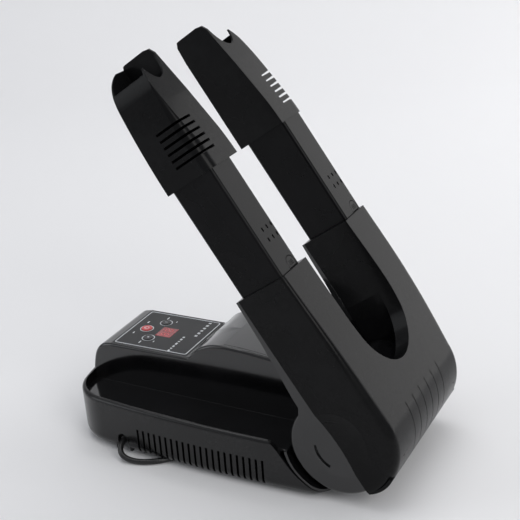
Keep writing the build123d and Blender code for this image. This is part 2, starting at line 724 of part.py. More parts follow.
# ------------------------------------------------------------------ feet and screws
with BuildPart() as rubber_feet:
    with BuildSketch(base_top(FLOOR)):
        with Locations(*FEET):
            Circle(5.5)
    extrude(amount=TRAY_BOT + 1 - FLOOR)
    chamfer(rubber_feet.faces().sort_by(Axis.Z)[:4].edges(), 0.5)
save(rubber_feet, "rubber_feet")

with BuildPart() as base_screws:
    for i, (x, y) in enumerate(BASE_SCREWS):
        z = RECESS_TOP if i < 2 else TRAY_BOT + 19
        with BuildSketch(base_top(z)):
            with Locations((x, y)):
                Circle(2.9)
        extrude(amount=-2.0)
        with BuildSketch(base_top(z)):
            with Locations((x, y)):
                Circle(1.3)
        extrude(amount=12 if i < 2 else 15.5)
        with BuildSketch(base_top(z - 2)):
            with Locations((x, y)):
                Rectangle(3.4, 0.7)
                Rectangle(0.7, 3.4)
        extrude(amount=1.1, mode=Mode.SUBTRACT)
save(base_screws, "base_screws")

# ------------------------------------------------------------------ power cord
RELIEF_Y0, RELIEF_Y1 = -58.0, -81.0
CORD_X, CORD_Z = -201.5, -39.0
with BuildPart() as cord_strain_relief:
    with BuildSketch(Plane(origin=(PX + CORD_X, RELIEF_Y0, PZ + CORD_Z), x_dir=(1, 0, 0), z_dir=(0, -1, 0))):
        Circle(4.7)
    with BuildSketch(Plane(origin=(PX + CORD_X, RELIEF_Y1, PZ + CORD_Z), x_dir=(1, 0, 0), z_dir=(0, -1, 0))):
        Circle(3.3)
    loft()
    for y in (-62, -66, -70, -74):
        with BuildSketch(Plane(origin=(PX + CORD_X, y, PZ + CORD_Z), x_dir=(1, 0, 0), z_dir=(0, -1, 0))):
            Circle(6)
            Circle(3.1, mode=Mode.SUBTRACT)
            with Locations((0, 0)):
                Rectangle(3.2, 14, mode=Mode.SUBTRACT)
        extrude(amount=1.6, mode=Mode.SUBTRACT)
save(cord_strain_relief, "cord_strain_relief")

COIL = (-220.0, 30.0, 19.5, 30.0)      # centre x, y, inner and outer radius
with BuildPart() as power_cord_coil:
    with BuildSketch(base_top(FLOOR)):
        with Locations((COIL[0], COIL[1])):
            Circle(COIL[3])
            Circle(COIL[2], mode=Mode.SUBTRACT)
    extrude(amount=20.0)
    fillet(power_cord_coil.edges(), 2.4)
save(power_cord_coil, "power_cord_coil")

ON_FLOOR = FLOOR + CORD_R
LEAD = [(-201.5, -81.0, -39.0), (-201.2, -89.0, -40.4), (-196.5, -95.5, -45.6), (-186.0, -94.6, -49.4), (-172.0, -90.0, ON_FLOOR),
        (-157.5, -79.0, ON_FLOOR), (-147.0, -62.0, ON_FLOOR), (-144.5, -42.0, ON_FLOOR), (-151.5, -22.0, ON_FLOOR),
        (-167.0, -6.5, ON_FLOOR), (-184.0, 5.0, ON_FLOOR), (-192.2, 24.0, ON_FLOOR)]
TAIL_LEAD = [(-246.6, 38.0, ON_FLOOR), (-248.6, 20.0, -49.3), (-245.5, 8.5, -47.0), (-236.0, 1.0, -44.4), (-232.0, -8.0, -43.5)]


def cord_tube(points, name):
    """Cord along straight runs joined by tangent arcs, each as large as its runs allow."""
    pts = [Vector(PX + x, y, PZ + z) for x, y, z in points]
    radii = []
    for a, b, c in zip(pts, pts[1:], pts[2:]):
        turn = radians((b - a).get_angle(c - b))
        radii.append(0.45 * min((b - a).length, (c - b).length) / max(sin(turn / 2) / cos(turn / 2), 1e-6))
    print(name, "radii", [round(r, 1) for r in radii])
    with BuildPart() as tube_part:
        with BuildLine() as path:
            FilletPolyline(*pts, radius=radii)
        with BuildSketch(Plane(origin=pts[0], z_dir=pts[1] - pts[0])):
            Circle(CORD_R)
        sweep(path=path.wires()[0])
    print(name, "length", round(path.wires()[0].length, 1), "volume", round(tube_part.part.volume), "section x length",
          round(path.wires()[0].length * pi * CORD_R ** 2))
    save(tube_part, name)


cord_tube(LEAD, "power_cord_lead")
cord_tube(TAIL_LEAD, "power_cord_end")

PLUG_X, PLUG_Z = -232.0, -43.5
with BuildPart() as power_plug:
    with BuildSketch(Plane(origin=(PX + PLUG_X, -8.0, PZ + PLUG_Z), x_dir=(1, 0, 0), z_dir=(0, -1, 0))):
        Circle(3.3)
    with BuildSketch(Plane(origin=(PX + PLUG_X, -20.0, PZ + PLUG_Z), x_dir=(1, 0, 0), z_dir=(0, -1, 0))):
        Circle(4.8)
    loft()
    with BuildSketch(Plane(origin=(PX + PLUG_X, -20.0, PZ + PLUG_Z), x_dir=(1, 0, 0), z_dir=(0, -1, 0))):
        RectangleRounded(16, 12, 4)
    with BuildSketch(Plane(origin=(PX + PLUG_X, -37.0, PZ + PLUG_Z), x_dir=(1, 0, 0), z_dir=(0, -1, 0))):
        RectangleRounded(26, 16.4, 5)
    loft()
save(power_plug, "power_plug")

with BuildPart() as plug_pins:
    with BuildSketch(Plane(origin=(PX + PLUG_X, -36.0, PZ + PLUG_Z), x_dir=(1, 0, 0), z_dir=(0, -1, 0))):
        with Locations((-6.35, 0), (6.35, 0)):
            Rectangle(1.5, 6.3)
    extrude(amount=15.5)
save(plug_pins, "plug_pins")

FRONT_DIR = Axis(P0, N)
HW0 = SECTIONS[-1][1]      # half width of the fork at the hinge axis
DISH_R, DISH_DEPTH = 25.0, 2.6
DISH_SPHERE = (DISH_R ** 2 + DISH_DEPTH ** 2) / (2 * DISH_DEPTH)


HEEL_A = Vector(HEEL_R * cos(radians(58)), -HEEL_R * sin(radians(58)))   # where the heel starts to draw in
HEEL_END = 44.6


def rounded_section(plane, y0, y1, n0, n1, radius):
    """Rectangle y0..y1 by n0..n1 in a fork section plane, with its two front corners rounded."""
    with BuildSketch(plane) as section:
        with Locations(((n0 + n1) / 2, (y0 + y1) / 2)):
            Rectangle(n1 - n0, y1 - y0)
        fillet(section.vertices().group_by(FRONT_DIR)[-1], radius)
    return section.sketch


# front shell: one moulding that makes the front of both arms and wraps round the heel
with BuildPart() as fork_front_shell:
    for s, hw, depth, rad in SECTIONS:
        add(rounded_section(fork_section(s), -hw, hw, 0, depth, rad))
    loft()
    add(rounded_section(fork_section(0), -HW0, HW0, 0, HEEL_R, SECTIONS[-1][3]))
    revolve(axis=PIVOT, revolution_arc=90)
    # cavity of each arm, from the mouth plate down and round the heel
    for side in (1, -1):
        for s, hw, depth, rad in SECTIONS:
            a, b = sorted((side * CAVITY_IN, side * (hw - 1.6)))
            add(rounded_section(fork_section(min(s, MOUTH_S - 3)), a, b, -1, depth - 2.2, max(rad - 2.2, 0.8)))
        loft(mode=Mode.SUBTRACT)
        a, b = sorted((side * CAVITY_IN, side * (HW0 - 1.6)))
        add(rounded_section(fork_section(0), a, b, 0, HEEL_R - 2.2, SECTIONS[-1][3] - 2.2))
        revolve(axis=PIVOT, revolution_arc=91, mode=Mode.SUBTRACT)
    # hollow behind the web between the arms
    for s, hw, depth, rad in SECTIONS[2:]:
        with BuildSketch(fork_section(s + (22 if s == 60 else 0))):
            with Locations(((depth - 2.4 - 1) / 2, 0)):
                Rectangle(depth - 2.4 + 1, 2 * (ARM_IN - 0.2))
    loft(mode=Mode.SUBTRACT)
    with BuildSketch(fork_section(0)):
        with Locations(((HEEL_R - 2.4) / 2, 0)):
            Rectangle(HEEL_R - 2.4, 2 * (ARM_IN - 0.2))
    revolve(axis=PIVOT, revolution_arc=91, mode=Mode.SUBTRACT)
    # lining round the bottom of the U
    with BuildSketch(fork_front(36)):
        add(slot_outline(2.2))
        with Locations((0, 145)):
            Rectangle(120, 130, mode=Mode.SUBTRACT)
    extrude(amount=12.6)
    with BuildSketch(fork_front(-2)):
        add(slot_outline())
    extrude(amount=60, mode=Mode.SUBTRACT)
    for side in (1, -1):
        # solid pad behind the thumb dish
        with BuildSketch(fork_side(side * (HW0 - 0.5))):
            Circle(28)
            with Locations((-30, 0)):
                Rectangle(60, 60, mode=Mode.SUBTRACT)
        extrude(amount=side * 3.3)
        # screw post that the rear shell is drawn against
        with BuildSketch(fork_front(0)):
            with Locations((side * 62, -27)):
                Circle(4)
        extrude(amount=38)
        with BuildSketch(fork_front(0)):
            with Locations((side * 62, -27)):
                Circle(1.45)
        extrude(amount=14, mode=Mode.SUBTRACT)
        # mouth that the tube slides through
        y_mid = side * (TUBE_Y0 + TUBE_Y1) / 2
        with BuildSketch(fork_section(MOUTH_S - 5)) as mouth:
            with Locations(((TUBE_N0 + TUBE_N1) / 2, y_mid)):
                Rectangle(TUBE_N1 - TUBE_N0 + 0.8, TUBE_Y1 - TUBE_Y0 + 0.8)
            fillet(mouth.vertices(), 3.2)
        extrude(amount=10, mode=Mode.SUBTRACT)
        # thumb dish
        with Locations(P0 + Vector(0, side * (HW0 - DISH_DEPTH + DISH_SPHERE), 0)):
            Sphere(DISH_SPHERE, mode=Mode.SUBTRACT)
    # the heel draws in towards the seam
    with BuildSketch(fork_side()):
        with BuildLine():
            outer = TangentArc(HEEL_A, (0, -HEEL_END), tangent=(-sin(radians(58)), -cos(radians(58))))
            inner = TangentArc(HEEL_A * 0.945, (0, 2.4 - HEEL_END), tangent=(-sin(radians(58)), -cos(radians(58))))
            Line(outer @ 0, inner @ 0)
            Line(outer @ 1, inner @ 1)
        make_face()
    extrude(amount=HW0 - 1.0, both=True)
    with BuildSketch(fork_side()):
        with BuildLine():
            outer = TangentArc(HEEL_A, (0, -HEEL_END), tangent=(-sin(radians(58)), -cos(radians(58))))
            Polyline([outer @ 1, (0, -60), (60, -60), outer @ 0])
        make_face()
    extrude(amount=90, both=True, mode=Mode.SUBTRACT)
    # grip grooves down the heel
    for y in (-36.25, -21.75, -7.25, 7.25, 21.75, 36.25):
        with BuildSketch(fork_section(0)):
            with Locations((HEEL_R + 0.3, y)):
                Rectangle(1.9, 0.9)
        revolve(axis=PIVOT, revolution_arc=78, mode=Mode.SUBTRACT)
    # bearing bore, half in each shell
    with BuildSketch(fork_side()):
        Circle(BORE_R)
    extrude(amount=46, both=True, mode=Mode.SUBTRACT)
save(fork_front_shell, "fork_front_shell")

# rear shells: one for each arm, flat along the arm and round at the hinge
BACK_LINE = [(-2.6, 141.0), (-4.2, 103.0), (-6.6, 76.0), (-8.8, 53.0), (-9.2, 44.0), (-12.9, 39.3)]


def rear_profile(inset):
    """Side outline of a rear shell in a fork_side plane, drawn in by inset."""
    r = BOSS_R - inset
    back = [(n + inset, s) for n, s in BACK_LINE]
    corner = (back[-1][0], sqrt(r * r - back[-1][0] ** 2))
    with BuildSketch(Plane.XY, mode=Mode.PRIVATE) as profile:
        with BuildLine():
            Polyline([(1.0 if inset else 0.0, 141.0), *back[:-1], corner])
            ThreePointArc(corner, (-r * cos(radians(20)), -r * sin(radians(20))), (0, -r))
            Polyline([(0, -r), (1.0 if inset else 0.0, -r), (1.0 if inset else 0.0, 141.0)] if inset else [(0, -r), (0, 141.0)])
        make_face()
    return profile.sketch


def rear_shell(side):
    with BuildPart() as shell:
        with BuildSketch(fork_side(side * ARM_IN)):
            add(rear_profile(0.0))
        extrude(amount=-side * 42.0)
        # outer face follows the front shell's width
        with BuildSketch(fork_front(-44)):
            with BuildLine():
                edge = Spline([(side * hw, s) for s, hw, _, _ in reversed(SECTIONS)])
                Polyline([edge @ 1, (side * 30, 141.0), (side * 30, -44), (side * HW0, -44), edge @ 0])
            make_face()
        extrude(amount=50, mode=Mode.INTERSECT)
        fillet(shell.edges().filter_by(GeomType.CIRCLE).filter_by(lambda e: abs(e.radius - BOSS_R) < 0.01)
               .sort_by(lambda e: side * e.center().Y)[-1:], 2.5)
        with BuildSketch(fork_side(side * CAVITY_IN)):
            add(rear_profile(2.2))
            with Locations((0, 161)):
                Rectangle(60, 60, mode=Mode.SUBTRACT)
        extrude(amount=-side * (HW0 - 1.6 - CAVITY_IN), mode=Mode.SUBTRACT)
        with BuildSketch(fork_front(-20)):
            add(slot_outline())
        extrude(amount=30, mode=Mode.SUBTRACT)
        with BuildSketch(fork_side(side * (HW0 - 0.5))):
            Circle(28)
            with Locations((30, 0)):
                Rectangle(60, 60, mode=Mode.SUBTRACT)
        extrude(amount=side * 3.3)
        # screw post
        with BuildSketch(fork_front(0)):
            with Locations((side * 62, -27)):
                Circle(4)
        extrude(amount=-29)
        with BuildSketch(fork_front(0.5)):
            with Locations((side * 62, -27)):
                Circle(1.7)
        extrude(amount=-40, mode=Mode.SUBTRACT)
        with BuildSketch(fork_front(-6)):
            with Locations((side * 62, -27)):
                Circle(3.2)
        extrude(amount=-40, mode=Mode.SUBTRACT)
        with Locations(P0 + Vector(0, side * (HW0 - DISH_DEPTH + DISH_SPHERE), 0)):
            Sphere(DISH_SPHERE, mode=Mode.SUBTRACT)
        # crescent recess in the dish
        with BuildSketch(fork_side(side * (HW0 + 1))):
            with BuildLine():
                a0, a1 = radians(150), radians(213)
                ThreePointArc((19.2 * cos(a0), 19.2 * sin(a0)), (-19.2, 0), (19.2 * cos(a1), 19.2 * sin(a1)))
                Line((19.2 * cos(a1), 19.2 * sin(a1)), (21.4 * cos(a1), 21.4 * sin(a1)))
                ThreePointArc((21.4 * cos(a1), 21.4 * sin(a1)), (-21.4, 0), (21.4 * cos(a0), 21.4 * sin(a0)))
                Line((21.4 * cos(a0), 21.4 * sin(a0)), (19.2 * cos(a0), 19.2 * sin(a0)))
            make_face()
        extrude(amount=side * 3.4, mode=Mode.SUBTRACT)
        with BuildSketch(fork_side()):
            Circle(BORE_R)
        extrude(amount=46, both=True, mode=Mode.SUBTRACT)
    return shell


fork_rear_shell_left = rear_shell(-1)
save(fork_rear_shell_left, "fork_rear_shell_left")
fork_rear_shell_right = rear_shell(1)
save(fork_rear_shell_right, "fork_rear_shell_right")

with BuildPart() as fork_screws:
    for side in (1, -1):
        with BuildSketch(fork_front(-6)):
            with Locations((side * 62, -27)):
                Circle(2.9)
        extrude(amount=-2.2)
        with BuildSketch(fork_front(-6)):
            with Locations((side * 62, -27)):
                Circle(1.4)
        extrude(amount=18)
        with BuildSketch(fork_front(-8.2)):
            with Locations((side * 62, -27)):
                Rectangle(3.4, 0.7)
                Rectangle(0.7, 3.4)
        extrude(amount=1.2, mode=Mode.SUBTRACT)
save(fork_screws, "fork_screws")


# ------------------------------------------------------------------ tubes, latches, heads
def tube(side):
    y_mid = side * (TUBE_Y0 + TUBE_Y1) / 2
    n_mid = (TUBE_N0 + TUBE_N1) / 2
    dy, dn = TUBE_Y1 - TUBE_Y0, TUBE_N1 - TUBE_N0
    minus_edge = TUBE_Y0 if side > 0 else -TUBE_Y1
    with BuildPart() as body:
        with BuildSketch(fork_section(MOUTH_S - 2)) as outer:
            with Locations((n_mid, y_mid)):
                Rectangle(dn, dy)
            fillet(outer.vertices(), 2.6)
        extrude(amount=TUBE_TOP - MOUTH_S + 2)
        # lower run, drawn in on the outer side to clear the arm's taper
        with BuildSketch(fork_section(TUBE_LOW)) as lower:
            with Locations((n_mid, y_mid - side * 2.2)):
                Rectangle(dn, dy - 4.4)
            fillet(lower.vertices(), 2.6)
        extrude(amount=MOUTH_S - 2 - TUBE_LOW)
        # stop rib under the mouth plate
        with BuildSketch(fork_section(MOUTH_S - 6.2)):
            with Locations((n_mid, side * (TUBE_Y0 - 0.6))):
                Rectangle(26, 3.6)
        extrude(amount=2.8)
        with BuildSketch(fork_section(TUBE_LOW - 1)) as bore:
            with Locations((n_mid, y_mid - side * 2.2)):
                Rectangle(dn - 3.6, dy - 8.0)
            fillet(bore.vertices(), 1.2)
        extrude(amount=TUBE_TOP - TUBE_LOW + 2, mode=Mode.SUBTRACT)
        # vents
        with BuildSketch(fork_front(TUBE_N1 - 5)):
            with Locations(*[(minus_edge + dy_, MOUTH_S + ds) for dy_ in (13.0, 20.4, 27.2) for ds in (28.5, 37.5)]):
                SlotOverall(3.6, 2.0, rotation=90)
        extrude(amount=8, mode=Mode.SUBTRACT)
        # window of the latch tab
        with BuildSketch(fork_front(TUBE_N1 - 5)):
            add(latch_outline(minus_edge + 21.8, 0.5))
        extrude(amount=8, mode=Mode.SUBTRACT)
    return body


def latch_outline(y, grow):
    """D-shaped outline of the latch tab in the fork_front plane."""
    with BuildSketch(Plane.XY, mode=Mode.PRIVATE) as outline:
        with BuildLine():
            w, h = 5.6 + grow, MOUTH_S + 9.6 + grow
            base = MOUTH_S + 0.7 - grow
            Polyline([(y - w, h - w + 1), (y - w, base), (y + w, base), (y + w, h - w + 1)])
            ThreePointArc((y + w, h - w + 1), (y, h), (y - w, h - w + 1))
        make_face()
    return outline.sketch


def tube_latch(side):
    y = (TUBE_Y0 if side > 0 else -TUBE_Y1) + 21.8
    with BuildPart() as latch:
        with BuildSketch(fork_front(TUBE_N1 - 2.6)):
            add(latch_outline(y, 0.0))
        extrude(amount=2.5)
        with BuildSketch(fork_front(TUBE_N1 - 1.0)):
            with Locations((y, MOUTH_S + 4.2), (y, MOUTH_S + 5.6), (y, MOUTH_S + 2.8)):
                Rectangle(6.4, 0.5)
        extrude(amount=2, mode=Mode.SUBTRACT)
    return latch


def latch_leaf(side):
    """Bowed leaf spring under the latch tab."""
    y = (TUBE_Y0 if side > 0 else -TUBE_Y1) + 21.8
    n = TUBE_N1 - 2.6
    with BuildPart() as leaf:
        with BuildSketch(fork_side(y + 2.5)):
            with BuildLine():
                low = ThreePointArc((n - 5.2, MOUTH_S - 1), (n - 0.45, MOUTH_S + 5), (n - 5.2, MOUTH_S + 11))
                high = ThreePointArc((n - 5.2, MOUTH_S - 1.5), (n, MOUTH_S + 5), (n - 5.2, MOUTH_S + 11.5))
                Line(low @ 0, high @ 0)
                Line(low @ 1, high @ 1)
            make_face()
        extrude(amount=5)
    return leaf


HEAD_EDGE = [(82.4, 238.6), (82.0, 255.0), (80.2, 280.0), (78.0, 300.0), (75.6, 315.0), (71.6, 326.3),
             (66.0, 333.9), (59.4, 338.6), (51.0, 342.2), (44.0, 343.6)]
HEAD_SECTIONS = [(238.6, 82.4, 47.7, 9.0), (262.0, 81.6, 46.2, 8.6), (284.0, 79.8, 43.6, 6.5),
                 (304.0, 77.4, 40.6, 3.2), (322.0, 74.6, 37.6, 1.6), (344.0, 71.0, 33.6, 1.2)]
HEAD_IN = 41.0
HEAD_BACK = -0.8
SLOT_S = (252.6, 258.4, 264.2, 270.0, 275.8, 281.6)


def head_outline(side, inset=0.0):
    """Front view of a head: straight inside edge, outer edge that curves in at the tip."""
    with BuildSketch(Plane.XY, mode=Mode.PRIVATE) as outline:
        with BuildLine():
            pts = [(side * (y - inset), s - (0 if k == 0 else inset)) for k, (y, s) in enumerate(HEAD_EDGE)]
            edge = Spline(pts)
            Polyline([edge @ 1, (side * (HEAD_IN + inset), HEAD_S1 - inset), (side * (HEAD_IN + inset), HEAD_S0), edge @ 0])
        make_face()
    return outline.sketch


def nozzle_head(side):
    with BuildPart() as head:
        for s, w, depth, rad in HEAD_SECTIONS:
            a, b = sorted((side * HEAD_IN, side * w))
            with BuildSketch(fork_section(s)) as section:
                with Locations(((depth + HEAD_BACK) / 2, (a + b) / 2)):
                    Rectangle(depth - HEAD_BACK, b - a)
                outer = section.vertices().sort_by(lambda v: side * v.Y)[-2:]
                fillet(outer.group_by(FRONT_DIR)[-1], rad)
        loft()
        with BuildSketch(fork_front(-5)):
            add(head_outline(side))
        extrude(amount=60, mode=Mode.INTERSECT)
        # side view of the tip: rounded corners of the inner wall
        with BuildSketch(fork_side()):
            with BuildLine():
                Polyline([(-6, 230), (60, 230), (60, 352), (-6, 352)], close=True)
            make_face()
            with BuildLine():
                tip = Polyline([(-6, 230), (48.7, 230), (48.7, 244), (40.9, 300), (34.6, 337.5), (31.6, 342.4), (26.0, 343.6),
                                (8.0, 344.2), (2.6, 343.2), (0.2, 339.0), (-0.8, 325.0), (-0.8, 320), (-6, 320)], close=True)
            make_face(mode=Mode.SUBTRACT)
        extrude(amount=90, both=True, mode=Mode.SUBTRACT)
        # hollow above the socket
        for s, w, depth, rad in HEAD_SECTIONS[1:]:
            if s == 262.0:
                s, w, depth, rad = TUBE_TOP, 81.9, 47.0, 8.8
            a, b = sorted((side * (HEAD_IN + 2.2), side * (w - 2.0)))
            with BuildSketch(fork_section(s)) as section:
                with Locations(((depth - 2.0 + HEAD_BACK + 2.0) / 2, (a + b) / 2)):
                    Rectangle(depth - 4.0 - HEAD_BACK, b - a)
                outer = section.vertices().sort_by(lambda v: side * v.Y)[-2:]
                fillet(outer.group_by(FRONT_DIR)[-1], max(rad - 1.8, 0.5))
        loft(mode=Mode.SUBTRACT)
        # socket for the tube
        with BuildSketch(fork_section(HEAD_S0 - 1)) as socket:
            with Locations(((TUBE_N0 + TUBE_N1) / 2, side * (TUBE_Y0 + TUBE_Y1) / 2)):
                Rectangle(TUBE_N1 - TUBE_N0, TUBE_Y1 - TUBE_Y0)
            fillet(socket.vertices(), 2.6)
        extrude(amount=TUBE_TOP - HEAD_S0 + 1.5, mode=Mode.SUBTRACT)
        # scooped mouth
        with BuildSketch(fork_front(2.4)):
            with BuildLine():
                rim = Spline([(side * y, s) for y, s in [(69.6, 331.4), (66.6, 323.8), (60.8, 318.4), (53.0, 319.4), (46.6, 327.0), (43.4, 338.0)]])
                Polyline([rim @ 1, (side * 43.4, 352), (side * 76, 352), (side * 76, 331.4), rim @ 0])
            make_face()
        extrude(amount=60, mode=Mode.SUBTRACT)
        # side slots that wrap the front corner
        for s in SLOT_S:
            with BuildSketch(fork_section(s - 1.05)):
                with BuildLine():
                    Polyline([(19.4, side * 90), (60, side * 90), (60, side * 61.5), (19.4, side * 61.5)], close=True)
                make_face()
            extrude(amount=2.1, mode=Mode.SUBTRACT)
    return head


for side, name in ((-1, "left"), (1, "right")):
    save(tube(side), f"tube_{name}")
    save(tube_latch(side), f"tube_latch_{name}")
    save(latch_leaf(side), f"latch_leaf_{name}")
    save(nozzle_head(side), f"nozzle_head_{name}")
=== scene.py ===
import bpy
import bmesh
import json
from math import sin, cos, radians, pi, sqrt, atan2
from mathutils import Matrix, Vector


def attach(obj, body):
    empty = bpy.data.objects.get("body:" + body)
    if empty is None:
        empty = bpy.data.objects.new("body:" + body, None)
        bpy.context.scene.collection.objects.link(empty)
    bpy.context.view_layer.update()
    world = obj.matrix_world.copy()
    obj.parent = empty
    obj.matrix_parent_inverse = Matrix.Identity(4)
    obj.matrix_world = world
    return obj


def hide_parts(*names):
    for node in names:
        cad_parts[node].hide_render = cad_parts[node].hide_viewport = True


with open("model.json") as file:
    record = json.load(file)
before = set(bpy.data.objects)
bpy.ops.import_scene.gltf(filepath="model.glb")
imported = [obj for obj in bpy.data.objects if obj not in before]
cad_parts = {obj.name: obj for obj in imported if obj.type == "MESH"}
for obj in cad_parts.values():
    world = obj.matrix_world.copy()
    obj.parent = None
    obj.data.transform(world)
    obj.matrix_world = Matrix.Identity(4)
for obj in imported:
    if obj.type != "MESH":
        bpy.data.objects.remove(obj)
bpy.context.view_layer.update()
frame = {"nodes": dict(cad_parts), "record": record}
NODES = frame["nodes"]

# The hinge axis in the row frame, in metres; every "h" position below is in millimetres from it.
PX, PZ = 0.10746, 0.052
TILT = radians(55)
U = Vector((-cos(TILT), 0, sin(TILT)))
N = Vector((sin(TILT), 0, cos(TILT)))


def H(x, y, z):
    return Vector((PX + x / 1000, y / 1000, PZ + z / 1000))


# ------------------------------------------------------------------ camera
cam_data = bpy.data.cameras.new("camera")
cam_data.lens = 81.5
cam_data.sensor_width = 36.0
cam_data.clip_start = 0.05
cam_data.clip_end = 40
cam = bpy.data.objects.new("camera", cam_data)
bpy.context.collection.objects.link(cam)
right = Vector((0.89549, 0.44335, -0.03910))
up = Vector((-0.14402, 0.37178, 0.91708))
fwd = Vector((-0.42113, 0.81561, -0.39678))
rot = Matrix((right, up, -fwd)).transposed().to_4x4()
cam.matrix_world = Matrix.Translation(H(313.8, -807.4, 506.8)) @ rot
bpy.context.scene.camera = cam

# ------------------------------------------------------------------ power cord
FLOOR_Z = -49.5
LEAD = [(-201.5, -81.0, -39.0), (-201.2, -89.0, -40.4), (-196.5, -95.5, -45.6), (-186.0, -94.6, -49.4), (-172.0, -90.0, FLOOR_Z),
        (-157.5, -79.0, FLOOR_Z), (-147.0, -62.0, FLOOR_Z), (-144.5, -42.0, FLOOR_Z), (-151.5, -22.0, FLOOR_Z),
        (-167.0, -6.5, FLOOR_Z), (-184.0, 5.0, FLOOR_Z), (-192.2, 24.0, FLOOR_Z)]
TAIL_LEAD = [(-246.6, 38.0, FLOOR_Z), (-248.6, 20.0, -49.3), (-245.5, 8.5, -47.0), (-236.0, 1.0, -44.4), (-232.0, -8.0, -43.5)]
LEVELS = [-49.5, -44.5, -39.5, -34.5]
R_IN, R_OUT = 22.25, 27.5


def step(a, a0, a1):
    """0 before a0, 1 after a1, smooth between, for a running angle in degrees."""
    t = min(max((a - a0) / (a1 - a0), 0.0), 1.0)
    return t * t * (3 - 2 * t)


coil = []
angle = 7.0
while angle <= 2676.0:
    turn_in = [step(angle, 420 + 360 * k, 480 + 360 * k) for k in range(3)]
    turn_out = [step(angle, 1860 + 360 * k, 1920 + 360 * k) for k in range(3)]
    level = LEVELS[0] + 5.0 * sum(turn_in) - 5.0 * sum(turn_out)
    radius = R_OUT + 0.4 + (R_IN - R_OUT - 0.4) * step(angle, -12, 45) + (R_OUT - R_IN) * step(angle, 1560, 1620)
    coil.append((-220.0 + radius * cos(radians(angle)), 30.0 + radius * sin(radians(angle)), level))
    angle += 15.0 if angle > 30 else 11.0

cord_points = [H(*p) for p in LEAD + coil + TAIL_LEAD]
cord_curve = bpy.data.curves.new("power_cord", "CURVE")
cord_curve.dimensions = "3D"
spline = cord_curve.splines.new("NURBS")
spline.points.add(len(cord_points) - 1)
for point, place in zip(spline.points, cord_points):
    point.co = (*place, 1.0)
    point.radius = 0.0025          # the cord's own radius, so the curve's box is the cord's box
spline.order_u = 3
spline.use_endpoint_u = True
spline.resolution_u = 5
cord_curve.bevel_depth = 1.0
cord_curve.bevel_resolution = 5
cord_curve.use_fill_caps = True
power_cord = bpy.data.objects.new("power_cord", cord_curve)
bpy.context.collection.objects.link(power_cord)
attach(power_cord, "base")
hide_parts("power_cord_lead", "power_cord_coil", "power_cord_end")


# ------------------------------------------------------------------ materials
def material(name, color, rough, metallic=0.0, coat=0.0, coat_rough=0.06, grain=1500.0, bump=0.05, vary=0.08, tint=0.25,
             dust=0.0, specular=0.5, bevel=0.0, scratches=0.0):
    """Moulded or metal surface: a fine grain in the bump, slow patches in the roughness and the colour, and a little dust."""
    mat = bpy.data.materials.new(name)
    mat.use_nodes = True
    nt = mat.node_tree
    nt.nodes.clear()
    out = nt.nodes.new("ShaderNodeOutputMaterial")
    bsdf = nt.nodes.new("ShaderNodeBsdfPrincipled")
    nt.links.new(bsdf.outputs[0], out.inputs[0])
    coord = nt.nodes.new("ShaderNodeTexCoord")
    slow = nt.nodes.new("ShaderNodeTexNoise")
    slow.inputs["Scale"].default_value = 26.0
    slow.inputs["Detail"].default_value = 5.0
    nt.links.new(coord.outputs["Object"], slow.inputs["Vector"])
    fine = nt.nodes.new("ShaderNodeTexNoise")
    fine.inputs["Scale"].default_value = grain
    fine.inputs["Detail"].default_value = 2.0
    nt.links.new(coord.outputs["Object"], fine.inputs["Vector"])
    # colour: a slow shift between a slightly darker and a slightly lighter tone
    ramp = nt.nodes.new("ShaderNodeValToRGB")
    ramp.color_ramp.elements[0].position = 0.35
    ramp.color_ramp.elements[0].color = (*[c * (1 - tint) for c in color], 1)
    ramp.color_ramp.elements[1].position = 0.7
    ramp.color_ramp.elements[1].color = (*[c * (1 + tint) + dust for c in color], 1)
    nt.links.new(slow.outputs["Fac"], ramp.inputs["Fac"])
    nt.links.new(ramp.outputs["Color"], bsdf.inputs["Base Color"])
    # roughness: slow patches and the grain
    rmap = nt.nodes.new("ShaderNodeMapRange")
    rmap.inputs["From Min"].default_value = 0.3
    rmap.inputs["From Max"].default_value = 0.7
    rmap.inputs["To Min"].default_value = max(rough - vary, 0.02)
    rmap.inputs["To Max"].default_value = min(rough + vary, 1.0)
    mixr = nt.nodes.new("ShaderNodeMath")
    mixr.operation = "MULTIPLY_ADD"
    mixr.inputs[1].default_value = 0.3
    nt.links.new(fine.outputs["Fac"], mixr.inputs[0])
    scaled = nt.nodes.new("ShaderNodeMath")
    scaled.operation = "MULTIPLY"
    scaled.inputs[1].default_value = 0.7
    nt.links.new(slow.outputs["Fac"], scaled.inputs[0])
    nt.links.new(scaled.outputs[0], mixr.inputs[2])
    nt.links.new(mixr.outputs[0], rmap.inputs["Value"])
    nt.links.new(rmap.outputs[0], bsdf.inputs["Roughness"])
    # bump
    bmp = nt.nodes.new("ShaderNodeBump")
    bmp.inputs["Strength"].default_value = bump
    bmp.inputs["Distance"].default_value = 0.0002
    nt.links.new(fine.outputs["Fac"], bmp.inputs["Height"])
    if bevel:
        bev = nt.nodes.new("ShaderNodeBevel")
        bev.samples = 6
        bev.inputs["Radius"].default_value = bevel
        nt.links.new(bev.outputs[0], bmp.inputs["Normal"])
    nt.links.new(bmp.outputs[0], bsdf.inputs["Normal"])
    bsdf.inputs["Metallic"].default_value = metallic
    bsdf.inputs["Coat Weight"].default_value = coat
    bsdf.inputs["Coat Roughness"].default_value = coat_rough
    bsdf.inputs["Specular IOR Level"].default_value = specular
    mat["slot"] = name
    return mat


